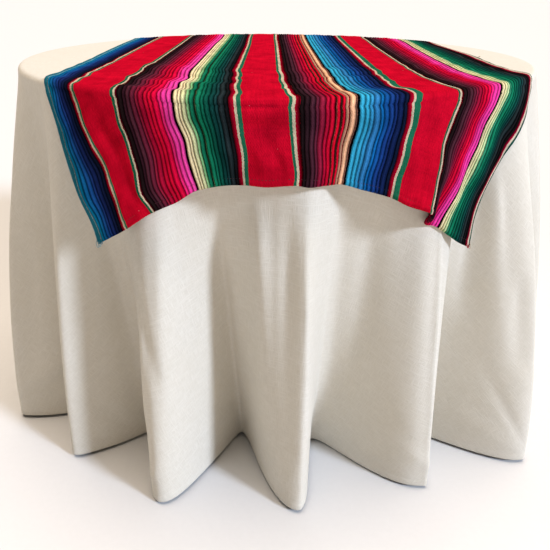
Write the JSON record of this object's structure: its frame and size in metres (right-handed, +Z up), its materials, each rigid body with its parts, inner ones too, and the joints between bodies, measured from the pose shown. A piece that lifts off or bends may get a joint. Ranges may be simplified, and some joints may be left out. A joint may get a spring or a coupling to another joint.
{
  "type": "serape on a covered round table",
  "caption": "Striped woven serape laid over a round pedestal table with a floor-length cloth, its ends hanging over the rim front and back.",
  "frame": {"origin": "centre of the base plate's underside, on the floor under the middle of the round table", "axes": "+Z up; -Y towards the front end of the serape, the end that the picture shows; +X to the right seen from the front"},
  "size_m": [1.2589, 1.1731, 0.7657],
  "materials": {
    "serape_wool": "matte striped weave",
    "linen": "matte slubby weave",
    "table_wood": "satin",
    "table_steel": "satin"
  },
  "bodies": {
    "root": {"serape_panel": "serape_wool", "front_hem": "serape_wool", "back_hem": "serape_wool", "tablecloth": "linen", "table_top": "table_wood", "top_plate": "table_steel", "column": "table_steel", "base_plate": "table_steel"}
  },
  "joints": []
}
